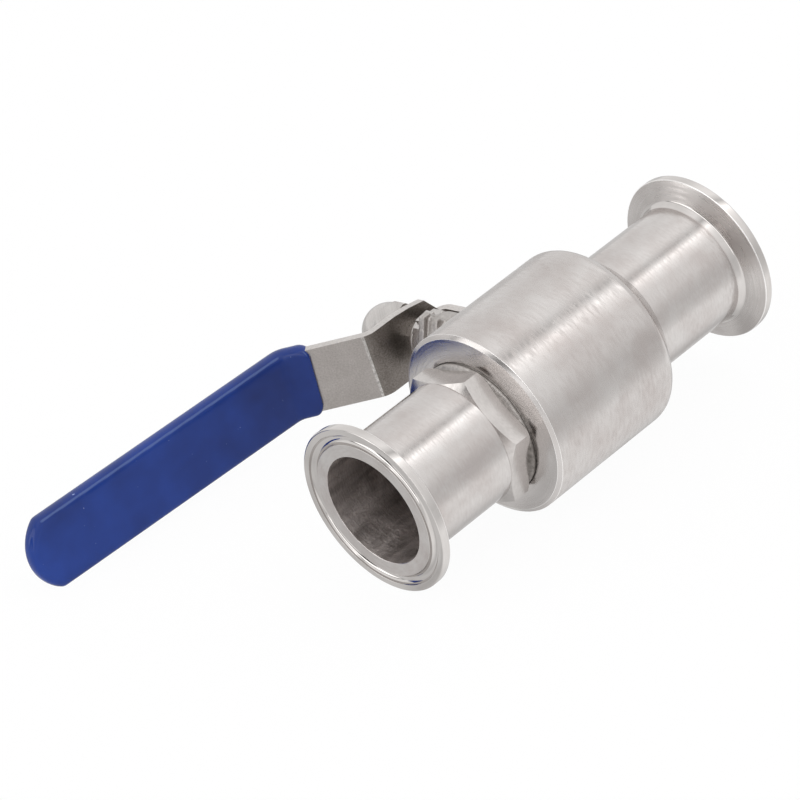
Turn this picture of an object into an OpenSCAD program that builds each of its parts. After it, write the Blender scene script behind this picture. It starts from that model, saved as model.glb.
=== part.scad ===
// Sanitary two-piece ball valve with clamp ferrule ends and a lever handle.
// Sizes are in millimetres. The pipe runs along X and the stem along Z.
// The ball's centre is the origin; the hexagonal end cap is on the +X side.

/* [Run lengths] */
// Stem axis to the sealing face of the end-cap side ferrule
front_len = 73.8; // [66:0.1:90]
// Stem axis to the sealing face of the body side ferrule
rear_len = 60.8; // [55:0.1:80]

/* [Clamp ferrules] */
// Outside diameter of the clamp flange
ferrule_od = 50.5; // [48:0.1:52]
// Outside diameter of the ferrule's tube
tube_od = 36.9; // [35:0.1:38.4]
// Bore of the ferrule's tube
bore_d = 33; // [30:0.1:34]
// Thickness of the clamp flange at its edge
rim_t = 2.6; // [2:0.1:3.5]
// Back slope of the clamp flange in degrees
rim_angle = 20; // [15:1:25]
// Diameter of the gasket groove's centre circle
groove_d = 43.5; // [40:0.1:44]
// Section radius of the gasket groove
groove_r = 1.5; // [1:0.1:1.8]
// Fillet radius between flange back and tube
ferrule_fillet = 2; // [1:0.1:2.5]
// Small edge break on the flange
rim_edge = 0.4; // [0.2:0.1:0.7]
// Leg of the weld bead on the tube
weld_leg = 1.6; // [1:0.1:2]

/* [Body] */
// Outside diameter of the body
body_od = 55.8; // [52:0.1:62]
// Stem axis to the body's front face
body_front = 31.4; // [28:0.1:34]
// Stem axis to where the body's rear corner starts
body_rear = 13.5; // [13:0.1:15]
// Radius of the body's rear corner
rear_corner = 4; // [2:0.1:6]
// Slope of the rear shoulder against the pipe axis in degrees
shoulder_angle = 48; // [40:1:60]
// Outside diameter where the rear shoulder ends
shoulder_end_d = 41; // [40:0.1:44]
// Chamfer on the body's front edge
front_chamfer = 1.2; // [0.6:0.1:1.6]
// Radial gap between the ball and the cavity round it
cavity_gap = 0.5; // [0.3:0.1:1]
// Wall between a seat pocket and the cavity
pocket_wall = 1.5; // [1.3:0.1:2]
// Radial step between the cavity and the threaded mouth
mouth_step = 1.05; // [0.9:0.05:1.4]

/* [Neck and stops] */
// Outside diameter of the stem neck
neck_d = 17.4; // [17.2:0.1:18]
// Gap between the neck's top and the packing nut
neck_gap = 0.15; // [0.1:0.05:0.5]
// Diameter of the neck's flared foot
foot_d = 29; // [26:0.5:32]
// Thickness of a stop ear
ear_t = 2.2; // [1.8:0.1:3]
// Width of a stop ear at its tip
ear_w = 2.65; // [2:0.05:4]
// How far an ear's tip reaches past the inside of the lever's tab
ear_lap = 0.5; // [0.4:0.1:1.2]
// Rounding of an ear's outer corner
ear_round = 1.2; // [0.5:0.1:1.2]
// Radius at which an ear's outer side runs out beside the neck
ear_foot = 9.8; // [9:0.1:10.2]
// Place of that run-out round the stem in degrees
ear_turn = 23; // [10:1:30]
// Height of the rough web that carries an ear
web_h = 3.6; // [2:0.1:5]
// How far the web stays inside the ear's outline
web_in = 1.3; // [1:0.1:2]

/* [Ball and seats] */
// Diameter of the ball
ball_d = 37; // [36.4:0.1:37.4]
// Clear bore through ball, seats and throats
port_d = 25; // [22:0.1:25.6]
// Outside diameter of a seat ring
seat_od = 35; // [34:0.1:35.4]
// Stem axis to a seat ring's back
seat_back = 17; // [16.5:0.1:17.4]
// Stem axis to a seat ring's ball side
seat_nose = 10.6; // [10.2:0.1:11]
// Width of the drive slot in the ball
slot_w = 6.1; // [5:0.1:7]
// Height of the drive slot's floor above the ball's centre
slot_floor = 13.9; // [13.7:0.1:14.3]

/* [End cap] */
// Width of the hexagon across its flats
hex_af = 37; // [37:0.1:41]
// Stem axis to the hexagon's back
hex_back = 32.7; // [31.6:0.1:34]
// Length of the hexagon at its corners
hex_len = 5.5; // [4.5:0.1:7]
// Length of the turned cone between the corners and the tube
hex_cone = 1.6; // [1:0.1:2]
// Turn of the hexagon about the pipe in degrees
hex_turn = 36.9; // [0:0.1:60]
// Length of the throat in front of the seat
throat_len = 3; // [1:0.1:6]
// Thickness of the body seal ring
seal_t = 1.5; // [1:0.1:2]
// Radial width of the body seal ring
seal_w = 1.7; // [1.2:0.1:1.8]
// Stem axis to the step that carries the body seal
seal_step = 11; // [10.8:0.1:12]

/* [Stem] */
// Diameter of the stem
stem_d = 10; // [9.6:0.1:10.4]
// Width across the stem's two flats inside the lever
stem_af = 7; // [6:0.1:8]
// Width across the stem's flats below the lever
lower_af = 8.4; // [8.2:0.1:9]
// Length of the drive tang's blade
tang_len = 11.6; // [10:0.1:12]
// Diameter of the stem's retaining shoulder
shoulder_d = 14; // [13:0.1:15]
// Height where the retaining shoulder starts
shoulder_z = 20; // [19.6:0.1:20.5]
// Thickness of the retaining shoulder
shoulder_t = 2.5; // [2:0.1:3]
// Thickness of the thrust washer
thrust_t = 1.5; // [1:0.1:2]
// Height of the stem's o-ring above the pipe axis
oring_z = 27.4; // [27:0.1:28]
// Section diameter of the stem's o-ring
oring_w = 1.8; // [1.4:0.1:2]
// Length of the stem's end inside the cap nut
stem_end = 6.2; // [5:0.1:6.8]

/* [Packing] */
// Diameter of the packing chamber
pack_d = 15; // [14.6:0.1:15.4]
// Height of the packing chamber's floor
pack_z = 30.6; // [30.4:0.1:31]
// Height of one packing ring's straight edge
pack_h = 2.1; // [1.9:0.1:2.2]
// Depth of the packing rings' chevron
chevron = 1; // [0.6:0.1:1.4]
// Length of the gland follower
gland_len = 5.1; // [4:0.1:6]
// Radial gap between a disc spring and the packing chamber
spring_gap = 0.3; // [0.15:0.05:0.5]
// Sheet thickness of a disc spring
spring_t = 0.9; // [0.6:0.05:1.1]
// Cone height of a disc spring
spring_cone = 0.5; // [0.3:0.05:0.7]
// Width of the packing nut across its flats
nut_af = 15.4; // [14:0.1:16]
// Turn of the packing nut about the stem in degrees
nut_turn = -6.5; // [-30:0.5:30]
// Thickness of the packing nut
nut_t = 4.6; // [4.2:0.1:5]
// Thickness of the tab washer
tab_t = 0.8; // [0.5:0.1:1]
// Diameter of the tab washer
tab_d = 16; // [15.6:0.1:17]

/* [Lever] */
// Gap between the tab washer and the lever's underside
lever_lift = 4.95; // [4:0.05:7]
// Thickness of the lever's plate
lever_t = 2.5; // [2:0.1:3]
// Width of the lever's plate
lever_w = 19.8; // [17:0.1:22]
// Stem axis to the first bend of the lever
bend1_x = 15.3; // [14:0.1:18]
// Stem axis to the second bend of the lever
bend2_x = 32.7; // [29:0.1:35]
// How far the head narrows on each side towards its shoulder
head_in = 1.5; // [0:0.1:3]
// Length of the slope between the head's shoulder and the stop tab
tab_neck = 4.3; // [3:0.1:5.5]
// Slope of the lever's ramp in degrees
ramp_angle = 49; // [45:0.5:56]
// Slope of the grip in degrees
grip_angle = 3.3; // [0:0.1:6]
// Middle radius of the two bends
bend_r = 4.25; // [3.5:0.05:5]
// Stem axis to the plate's grip end
lever_end = 126.9; // [110:0.1:140]
// Radius of the plate's rounded grip end
end_r = 11.9; // [10:0.1:16]
// Stem axis to the head's square shoulder
head_x = 5.8; // [5:0.1:7]
// Stem axis to the inside of the stop tab
tab_x = 11.2; // [11:0.1:12]
// Side of the stop tab that closes the valve
tab_y = 2.6; // [1:0.1:3]
// Width of the stop tab
tab_w = 7.9; // [6:0.1:9]
// How far the stop tab hangs below the neck's top
tab_drop = 4.2; // [3:0.1:5]
// Inside radius of the stop tab's bend
tab_bend = 1.5; // [1:0.1:2]
// Wall of the soft sleeve
sleeve_wall = 1.3; // [1:0.1:2]
// Edge radius of the soft sleeve
sleeve_edge = 1.9; // [1:0.1:2]
// Length of the sleeve's mouth along the ramp
mouth_len = 7.8; // [3:0.1:9]

/* [Lever fastening] */
// Thickness of the spring washer
lock_t = 1.5; // [1.2:0.1:2]
// Diameter of the spring washer
lock_d = 16; // [15:0.1:17]
// Width of the cap nut across its flats
cap_af = 16.4; // [16.3:0.1:18]
// Height of the cap nut's hexagon
cap_hex = 7.2; // [6:0.1:7.6]
// Radius of the cap nut's dome
dome_r = 8.1; // [7.6:0.05:8.12]
// Height of the dome's centre above the nut's seat
dome_lift = 7.9; // [7.2:0.1:8.2]

/* [Fits] */
// Radial gap of a turning fit
run_gap = 0.05; // [0.02:0.01:0.1]
// Radial gap between fixed pieces
fix_gap = 0.05; // [0.02:0.01:0.1]
// Gap between the ball and a seat
seat_gap = 0.08; // [0.04:0.01:0.15]
// Gap between the lever's tab and a stop
stop_gap = 0.15; // [0.1:0.01:0.3]

/* [Hidden] */
$fn = 96;
tube_r = tube_od / 2;
bore_r = bore_d / 2;
body_r = body_od / 2;
port_r = port_d / 2;
ball_r = ball_d / 2;
stem_r = stem_d / 2;
cavity_r = max(ball_r + cavity_gap, seat_od / 2 + pocket_wall);
mouth_r = cavity_r + mouth_step;
weld_r = tube_r + weld_leg;
hex_front = hex_back + hex_len + hex_cone;
corner_c = body_r - rear_corner;
shoulder_r = corner_c + rear_corner * cos(shoulder_angle);
shoulder_x = -body_rear - rear_corner * sin(shoulder_angle);
back_x = shoulder_x - (shoulder_r - shoulder_end_d / 2) / tan(shoulder_angle);
thrust_z = shoulder_z + shoulder_t;
bore_z = thrust_z + thrust_t;
gland_z = pack_z + 3 * pack_h + chevron;
spring_z = gland_z + gland_len;
nut_z = spring_z + run_gap + 2 * (spring_t + spring_cone);
neck_top = nut_z - neck_gap;
tab_z = neck_top - tab_drop;
ear_tip = tab_x + ear_lap;
washer_z = nut_z + nut_t;
lever_z = washer_z + tab_t + lever_lift;
lock_z = lever_z + lever_t;
cap_z = lock_z + lock_t;
stem_top = cap_z + stem_end;
mid_z = lever_z + lever_t / 2;
ramp_run = (bend2_x - bend1_x) / cos(ramp_angle);
turn2 = ramp_angle - grip_angle;
cut1 = bend_r * tan(ramp_angle / 2);
cut2 = bend_r * tan(turn2 / 2);
bend2_z = mid_z + (bend2_x - bend1_x) * tan(ramp_angle);
grip_run = (lever_end - bend2_x) / cos(grip_angle);
sleeve_t = lever_t + 2 * sleeve_wall;
sleeve_w = lever_w + 2 * sleeve_wall;
sleeve_r = end_r + sleeve_wall;
lap = 0.01;

// Turns a profile of [radius, place along the pipe] about the pipe axis.
module about_pipe() {
  rotate([0, 90, 0])
    rotate_extrude()
      children();
}

// Flat ring standing on the plane z.
module ring(z, h, ro, ri) {
  translate([0, 0, z])
    difference() {
      cylinder(h = h, r = ro);
      translate([0, 0, -1])
        cylinder(h = h + 2, r = ri);
    }
}

// Round bar with two flats, as the stem's top has.
module flatted(r, af, h) {
  intersection() {
    cylinder(h = h, r = r);
    translate([-af / 2, -r - 1, 0])
      cube([af, 2 * r + 2, h]);
  }
}

// Hexagonal bar with both rims chamfered by a turned cone.
module hex_bar(af, h, low, high) {
  r = af / sqrt(3);
  c = (r - af / 2) * 0.6;
  intersection() {
    cylinder(h = h, r = r, $fn = 6);
    rotate_extrude()
      polygon([[0, 0], [r - low * 2 * c, 0], [r + 0.01, low * c + 0.001],
        [r + 0.01, h - high * c - 0.001], [r - high * 2 * c, h], [0, h]]);
  }
}

// Rectangle with rounded corners, centred.
module round_rect(w, h, r) {
  square([w - 2 * r, h], center = true);
  square([w, h - 2 * r], center = true);
  for (sx = [-1, 1])
    for (sy = [-1, 1])
      translate([sx * (w / 2 - r), sy * (h / 2 - r)])
        circle(r = r, $fn = 48);
}

// Half section of a clamp ferrule, sealing face at 0 and tube towards minus.
module ferrule_section(len) {
  rim_r = ferrule_od / 2;
  fil_r = tube_r + ferrule_fillet;
  drop = (rim_r - fil_r) * tan(rim_angle);
  difference() {
    polygon([[bore_r, 0], [rim_r - rim_edge, 0], [rim_r, -rim_edge],
      [rim_r, -rim_t + rim_edge], [rim_r - rim_edge, -rim_t],
      [fil_r, -rim_t - drop], [fil_r, -rim_t - drop - ferrule_fillet],
      [tube_r, -rim_t - drop - ferrule_fillet], [tube_r, -len], [bore_r, -len]]);
    translate([groove_d / 2, 0])
      circle(r = groove_r, $fn = 48);
    translate([fil_r, -rim_t - drop - ferrule_fillet])
      circle(r = ferrule_fillet, $fn = 48);
  }
}

// Turned outline of the body, closed to the pipe axis.
module body_section() {
  polygon([[0, back_x], [shoulder_end_d / 2, back_x], [shoulder_r, shoulder_x],
    [corner_c, -body_rear], [body_r, -body_rear], [body_r, body_front - front_chamfer],
    [body_r - front_chamfer, body_front], [0, body_front]]);
  translate([corner_c, -body_rear])
    circle(r = rear_corner);
}

// Waterway, cavity, seat pocket and threaded mouth inside the body.
module body_hollow() {
  polygon([[0, back_x - 1], [bore_r, back_x - 1], [bore_r, back_x],
    [port_r, -seat_back - 0.5], [port_r, -seat_back],
    [seat_od / 2 + fix_gap, -seat_back], [seat_od / 2 + fix_gap, -seat_nose],
    [cavity_r, -seat_nose], [cavity_r, seal_step], [mouth_r, seal_step],
    [mouth_r, body_front + 1], [0, body_front + 1]]);
}

// Outline of a stop ear; its working face stands at x = side, drop keeps it smaller all round.
module ear_outline(side, drop) {
  neck_r = neck_d / 2;
  tip = ear_tip - drop;
  slant = atan((ear_foot * cos(ear_turn) - side - ear_w) / (ear_tip - ear_foot * sin(ear_turn)));
  cut = ear_round * tan(45 - slant / 2);
  foot = ear_foot - drop;
  right = side + ear_w - drop;
  polygon([[side, tip], [right - cut, tip], [right + cut * sin(slant), tip - cut * cos(slant)],
    [foot * cos(ear_turn), foot * sin(ear_turn)], [0, 0], [side - neck_r / 2, neck_r * 0.9],
    [side, tab_x - drop - 2 * stop_gap]]);
  translate([right - cut, tip - ear_round])
    circle(r = ear_round, $fn = 48);
}

// Stop ear flush with the neck's top, and the web under it.
module stop_ear(side) {
  translate([0, 0, neck_top - ear_t])
    linear_extrude(height = ear_t)
      ear_outline(side, 0);
  translate([0, 0, neck_top - ear_t - web_h])
    linear_extrude(height = web_h + lap)
      ear_outline(side, web_in);
}

module body() {
  color([0.72, 0.71, 0.69])
    difference() {
      union() {
        about_pipe()
          body_section();
        translate([0, 0, body_r - 6])
          cylinder(h = neck_top - body_r + 6, r = neck_d / 2);
        translate([0, 0, body_r - 3.2])
          cylinder(h = 5, r1 = foot_d / 2, r2 = neck_d / 2);
        stop_ear(tab_y + stop_gap);
        rotate([0, 0, 90])
          mirror([1, 0, 0])
            stop_ear(tab_w - tab_y + stop_gap);
      }
      about_pipe()
        body_hollow();
      translate([0, 0, ball_r - 4])
        cylinder(h = bore_z - ball_r + 4, r = shoulder_d / 2 + run_gap);
      cylinder(h = pack_z + 1, r = stem_r + run_gap);
      translate([0, 0, pack_z])
        cylinder(h = neck_top - pack_z + 1, r = pack_d / 2);
    }
}

// Hexagon of the end cap, its front rim turned down to the tube by a cone.
module coned_hexagon() {
  r = hex_af / sqrt(3);
  intersection() {
    cylinder(h = hex_len + hex_cone, r = r, $fn = 6);
    rotate_extrude()
      polygon([[0, 0], [r + 0.01, 0], [r + 0.01, hex_len], [tube_r, hex_len + hex_cone],
        [0, hex_len + hex_cone]]);
  }
}

module end_cap() {
  nose_x = seal_step + seal_t;
  color([0.74, 0.73, 0.71])
    difference() {
      union() {
        about_pipe()
          polygon([[0, nose_x], [mouth_r - fix_gap, nose_x], [mouth_r - fix_gap, hex_back],
            [hex_af / 2 - 1, hex_back], [hex_af / 2 - 1, hex_back + 1], [0, hex_back + 1]]);
        translate([hex_back, 0, 0])
          rotate([hex_turn, 0, 0])
            rotate([0, 90, 0])
              rotate([0, 0, 90])
                coned_hexagon();
      }
      about_pipe()
        polygon([[0, nose_x - 1], [seat_od / 2 + fix_gap, nose_x - 1],
          [seat_od / 2 + fix_gap, seat_back], [port_r, seat_back],
          [port_r, seat_back + throat_len], [bore_r, hex_front], [bore_r, hex_front + 1],
          [0, hex_front + 1]]);
    }
}

module front_ferrule() {
  color([0.78, 0.77, 0.75])
    about_pipe()
      translate([0, front_len])
        ferrule_section(front_len - hex_front);
}

module rear_ferrule() {
  color([0.78, 0.77, 0.75])
    mirror([1, 0, 0])
      about_pipe()
        translate([0, rear_len])
          ferrule_section(rear_len + back_x);
}

module weld_section() {
  difference() {
    polygon([[tube_r, 0], [weld_r, 0], [tube_r, weld_leg]]);
    translate([weld_r + weld_leg, 2 * weld_leg])
      circle(r = weld_leg * 1.6, $fn = 48);
  }
}

module rear_weld() {
  color([0.70, 0.69, 0.67])
    mirror([1, 0, 0])
      about_pipe()
        translate([0, -back_x])
          weld_section();
}

module ball() {
  color([0.85, 0.85, 0.84])
    difference() {
      sphere(r = ball_r);
      rotate([0, 90, 0])
        cylinder(h = ball_d + 2, r = port_r, center = true);
      translate([-slot_w / 2, -ball_r, slot_floor])
        cube([slot_w, ball_d, ball_r]);
    }
}

module seat_ring() {
  difference() {
    about_pipe()
      polygon([[port_r, 0], [seat_od / 2, 0], [seat_od / 2, seat_back - fix_gap],
        [port_r, seat_back - fix_gap]]);
    translate([-1, 0, 0])
      rotate([0, 90, 0])
        cylinder(h = seat_nose + 1 + fix_gap, r = seat_od);
    sphere(r = ball_r + seat_gap);
  }
}

module seat_front() {
  color([0.93, 0.92, 0.88])
    seat_ring();
}

module seat_rear() {
  color([0.93, 0.92, 0.88])
    mirror([1, 0, 0])
      seat_ring();
}

module body_seal() {
  color([0.93, 0.92, 0.88])
    about_pipe()
      polygon([[mouth_r - seal_w, seal_step], [mouth_r - fix_gap, seal_step],
        [mouth_r - fix_gap, seal_step + seal_t], [mouth_r - seal_w, seal_step + seal_t]]);
}

module stem() {
  groove = oring_w / 2 + 0.15;
  color([0.76, 0.75, 0.73])
    difference() {
      union() {
        intersection() {
          translate([-slot_w / 2 + fix_gap, -tang_len / 2, slot_floor + 0.2])
            cube([slot_w - 2 * fix_gap, tang_len, shoulder_z - slot_floor]);
          cylinder(h = shoulder_z + 1, r = tang_len / 2);
        }
        translate([0, 0, shoulder_z])
          cylinder(h = shoulder_t, r = shoulder_d / 2);
        translate([0, 0, shoulder_z])
          cylinder(h = washer_z - shoulder_z, r = stem_r);
        translate([0, 0, washer_z])
          flatted(stem_r, lower_af, lever_z - washer_z);
        translate([0, 0, lever_z])
          flatted(stem_r, stem_af, stem_top - lever_z);
      }
      translate([0, 0, oring_z - groove])
        ring(0, 2 * groove, stem_r + 1, stem_r - oring_w - 0.05);
      translate([0, 0, stem_top - 1])
        difference() {
          cylinder(h = 2, r = stem_r + 1);
          translate([0, 0, -1])
            cylinder(h = 3, r1 = stem_r + 1, r2 = stem_r - 2);
        }
    }
}

module thrust_washer() {
  color([0.92, 0.91, 0.87])
    ring(thrust_z, thrust_t, shoulder_d / 2, stem_r + run_gap);
}

module stem_o_ring() {
  color([0.09, 0.09, 0.09])
    translate([0, 0, oring_z])
      rotate_extrude()
        translate([stem_r - oring_w / 2, 0])
          circle(r = oring_w / 2, $fn = 32);
}

// Section of one packing ring; low and high say how far its chevrons rise.
module packing_ring(z, low, high) {
  ri = stem_r + run_gap;
  ro = pack_d / 2 - fix_gap;
  rm = (ri + ro) / 2;
  rotate_extrude()
    polygon([[ri, z + fix_gap], [rm, z + low + fix_gap], [ro, z + fix_gap],
      [ro, z + pack_h + chevron - high], [rm, z + pack_h + chevron],
      [ri, z + pack_h + chevron - high]]);
}

module packing_lower() {
  color([0.90, 0.89, 0.85])
    packing_ring(pack_z - fix_gap, 0, chevron);
}

module packing_middle() {
  color([0.90, 0.89, 0.85])
    packing_ring(pack_z + pack_h, chevron, chevron);
}

module packing_upper() {
  color([0.90, 0.89, 0.85])
    packing_ring(pack_z + 2 * pack_h, chevron, 0);
}

module gland_follower() {
  color([0.74, 0.73, 0.71])
    ring(gland_z, gland_len, pack_d / 2 - fix_gap, stem_r + 2 * run_gap);
}

module disc_spring() {
  rotate_extrude()
    polygon([[stem_r + spring_gap, spring_cone], [pack_d / 2 - spring_gap, 0],
      [pack_d / 2 - spring_gap, spring_t], [stem_r + spring_gap, spring_cone + spring_t]]);
}

module disc_spring_lower() {
  color([0.62, 0.61, 0.58])
    translate([0, 0, spring_z + run_gap])
      disc_spring();
}

module disc_spring_upper() {
  color([0.62, 0.61, 0.58])
    translate([0, 0, nut_z])
      mirror([0, 0, 1])
        disc_spring();
}

module packing_nut() {
  color([0.77, 0.76, 0.74])
    difference() {
      translate([0, 0, nut_z])
        rotate([0, 0, nut_turn])
          hex_bar(nut_af, nut_t, 0.5, 0.5);
      translate([0, 0, nut_z - 1])
        cylinder(h = nut_t + 2, r = stem_r + fix_gap);
    }
}

module tab_washer() {
  color([0.70, 0.69, 0.67])
    difference() {
      union() {
        translate([0, 0, washer_z])
          cylinder(h = tab_t, r = tab_d / 2);
        for (a = [0, 180])
          rotate([0, 0, a + nut_turn])
            translate([-tab_d * 0.15, nut_af / 2 + fix_gap, nut_z + nut_t * 0.35])
              cube([tab_d * 0.3, tab_t, nut_t * 0.65 + tab_t * 0.3]);
      }
      translate([0, 0, washer_z - 1])
        flatted(stem_r + fix_gap, lower_af + 2 * fix_gap, tab_t + 2);
    }
}

// Bent strip of the lever from head to grip; g grows it on every side.
module bent_strip(g) {
  t = lever_t + 2 * g;
  w = lever_w + 2 * g;
  translate([-tab_x + tab_bend - lap, -w / 2, mid_z - t / 2])
    cube([bend1_x - cut1 + tab_x - tab_bend + 2 * lap, w, t]);
  translate([bend1_x - cut1, 0, mid_z + bend_r])
    rotate([90, 0, 0])
      rotate([0, 0, -90])
        rotate_extrude(angle = ramp_angle)
          translate([bend_r - t / 2, -w / 2])
            square([t, w]);
  translate([bend1_x, 0, mid_z])
    rotate([0, -ramp_angle, 0])
      translate([cut1 - lap, -w / 2, -t / 2])
        cube([ramp_run - cut1 - cut2 + 2 * lap, w, t]);
  grip_frame()
    bend2(0)
      square([t, w], center = true);
  grip_frame()
    translate([cut2 - lap, -w / 2, -t / 2])
      cube([grip_run - cut2 + g + lap, w, t]);
}

// Places children on the grip's middle line, which starts at the second bend.
module grip_frame() {
  translate([bend2_x, 0, bend2_z])
    rotate([0, -grip_angle, 0])
      children();
}

// Sweeps a section round the second bend, in the grip's frame; over runs past both ends.
module bend2(over) {
  translate([cut2, 0, -bend_r])
    rotate([90, 0, 0])
      rotate([0, 0, 90 - over])
        rotate_extrude(angle = turn2 + 2 * over)
          translate([bend_r, 0])
            children();
}

// Outline of the lever seen from above.
module lever_plan(g) {
  w = lever_w / 2 + g;
  neck_x = -head_x - tab_neck;
  tail_x = -tab_x - lever_t - 1;
  polygon([[-head_x, w - head_in], [neck_x, tab_y], [tail_x, tab_y], [tail_x, tab_y - tab_w],
    [neck_x, tab_y - tab_w], [-head_x, head_in - w], [0, head_in / 3 - w], [head_x, -w],
    [lever_end - end_r, -w], [lever_end - end_r, w], [head_x, w], [0, w - head_in / 3]]);
  translate([lever_end - end_r, 0])
    intersection() {
      circle(r = end_r + g);
      translate([-lap, -w])
        square([end_r + g + 1, 2 * w]);
    }
}

module lever_solid(g) {
  intersection() {
    bent_strip(g);
    linear_extrude(height = bend2_z + 3 * lever_end)
      lever_plan(g);
  }
}

module stop_tab() {
  y = tab_y - tab_w;
  translate([-tab_x - lever_t, y, tab_z])
    cube([lever_t, tab_w, lever_z - tab_bend - tab_z + lap]);
  translate([-tab_x + tab_bend, tab_y, lever_z - tab_bend])
    rotate([90, 0, 0])
      intersection() {
        difference() {
          cylinder(h = tab_w, r = tab_bend + lever_t);
          translate([0, 0, -1])
            cylinder(h = tab_w + 2, r = tab_bend);
        }
        translate([-20, 0, 0])
          cube([20, 20, tab_w]);
      }
}

module lever() {
  color([0.55, 0.52, 0.48])
    difference() {
      union() {
        lever_solid(0);
        stop_tab();
      }
      translate([0, 0, lever_z - 1])
        flatted(stem_r + fix_gap, stem_af + 2 * fix_gap, lever_t + 2);
    }
}

module lever_sleeve() {
  end_x = grip_run - end_r;
  color([0.16, 0.22, 0.50])
    difference() {
      union() {
        grip_frame() {
          bend2(1.4)
            round_rect(sleeve_t + 4 * lap, sleeve_w + 4 * lap, sleeve_edge + 2 * lap);
          intersection() {
            translate([cut2, 0, 0])
              rotate([90, 0, 90])
                linear_extrude(height = grip_run)
                  round_rect(sleeve_w, sleeve_t, sleeve_edge);
            union() {
              translate([cut2, -sleeve_w, -sleeve_t])
                cube([end_x - cut2, 2 * sleeve_w, 2 * sleeve_t]);
              translate([end_x, 0, 0])
                rotate_extrude()
                  intersection() {
                    round_rect(2 * sleeve_r, sleeve_t, sleeve_edge);
                    translate([0, -sleeve_t])
                      square([sleeve_r + 1, 2 * sleeve_t]);
                  }
            }
          }
        }
        translate([bend1_x, 0, mid_z])
          rotate([0, -ramp_angle, 0])
            translate([ramp_run - cut2 - mouth_len, 0, 0])
              rotate([90, 0, 90])
                linear_extrude(height = mouth_len)
                  round_rect(sleeve_w, sleeve_t, sleeve_edge);
      }
      lever_solid(fix_gap);
    }
}

module spring_washer() {
  color([0.66, 0.65, 0.62])
    difference() {
      ring(lock_z, lock_t, lock_d / 2, stem_r + 0.2);
      translate([0, -0.6, lock_z - 1])
        rotate([0, 0, 20])
          cube([lock_d, 1.2, lock_t + 2]);
    }
}

module cap_nut() {
  color([0.80, 0.79, 0.77])
    difference() {
      union() {
        translate([0, 0, cap_z])
          rotate([0, 0, 41.5])
            hex_bar(cap_af, cap_hex, 0, 0.6);
        translate([0, 0, cap_z + 1])
          cylinder(h = dome_lift - 1, r = dome_r);
        translate([0, 0, cap_z + dome_lift])
          sphere(r = dome_r);
      }
      translate([0, 0, cap_z - 1])
        cylinder(h = stem_top - cap_z + 2, r = stem_r + fix_gap);
    }
}

body();
end_cap();
front_ferrule();
rear_ferrule();
rear_weld();
ball();
seat_front();
seat_rear();
body_seal();
stem();
thrust_washer();
stem_o_ring();
packing_lower();
packing_middle();
packing_upper();
gland_follower();
disc_spring_lower();
disc_spring_upper();
packing_nut();
tab_washer();
lever();
lever_sleeve();
spring_washer();
cap_nut();
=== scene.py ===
import math

import bpy
from mathutils import Matrix, Vector


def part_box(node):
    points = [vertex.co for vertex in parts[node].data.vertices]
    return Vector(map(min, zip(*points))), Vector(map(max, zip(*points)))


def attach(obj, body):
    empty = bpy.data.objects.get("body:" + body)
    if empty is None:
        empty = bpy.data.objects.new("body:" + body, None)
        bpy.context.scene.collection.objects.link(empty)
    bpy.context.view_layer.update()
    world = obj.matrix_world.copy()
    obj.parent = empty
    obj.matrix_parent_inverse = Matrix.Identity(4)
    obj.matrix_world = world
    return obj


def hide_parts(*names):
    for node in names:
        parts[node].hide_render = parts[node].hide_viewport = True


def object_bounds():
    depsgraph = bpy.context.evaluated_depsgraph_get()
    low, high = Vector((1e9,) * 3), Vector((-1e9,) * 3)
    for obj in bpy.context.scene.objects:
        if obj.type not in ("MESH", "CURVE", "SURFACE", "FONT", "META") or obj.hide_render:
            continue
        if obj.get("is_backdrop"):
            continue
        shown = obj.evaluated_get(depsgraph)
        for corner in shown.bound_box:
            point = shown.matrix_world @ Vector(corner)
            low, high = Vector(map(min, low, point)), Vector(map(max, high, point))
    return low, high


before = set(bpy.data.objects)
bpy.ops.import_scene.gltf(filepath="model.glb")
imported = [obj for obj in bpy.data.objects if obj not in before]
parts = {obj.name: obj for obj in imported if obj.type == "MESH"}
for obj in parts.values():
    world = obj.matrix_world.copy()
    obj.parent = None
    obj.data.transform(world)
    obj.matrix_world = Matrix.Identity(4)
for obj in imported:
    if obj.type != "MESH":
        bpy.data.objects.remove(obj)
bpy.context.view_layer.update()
MM = 0.001

# Front and rear ferrules: tube ends of stainless steel, turned from bar and
# polished. Each has a clamp flange with a sloped back and a half-round gasket
# groove in its face, and is welded to the valve by its tube.


def deselect_all():
    """Leaves edit mode and deselects every object."""
    if bpy.context.object and bpy.context.object.mode != "OBJECT":
        bpy.ops.object.mode_set(mode="OBJECT")
    bpy.ops.object.select_all(action="DESELECT")


def pick(piece):
    """Selects one piece alone and makes it the active one."""
    deselect_all()
    piece.select_set(True)
    bpy.context.view_layer.objects.active = piece


def smooth_faces(piece, angle):
    """Shades a piece smooth, apart from edges sharper than an angle in degrees."""
    pick(piece)
    bpy.ops.object.shade_smooth_by_angle(angle=math.radians(angle))


def rounded(corners, steps=6):
    """Turns corners of (along, across, corner radius) into a closed outline with round corners."""
    nearly_straight = math.radians(88)
    outline = []
    for i, (x, r, radius) in enumerate(corners):
        here = Vector((x, r))
        back = (Vector(corners[i - 1][:2]) - here).normalized()
        on = (Vector(corners[(i + 1) % len(corners)][:2]) - here).normalized()
        half = back.angle(on) / 2
        if radius == 0 or half > nearly_straight:
            outline.append(here)
            continue
        centre = here + (back + on).normalized() * (radius / math.sin(half))
        start = here + back * (radius / math.tan(half)) - centre
        end = here + on * (radius / math.tan(half)) - centre
        turn = start.angle_signed(end)
        for k in range(steps + 1):
            outline.append(centre + Matrix.Rotation(-turn * k / steps, 2) @ start)
    return outline


same_point = 0.0005 * MM


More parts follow.
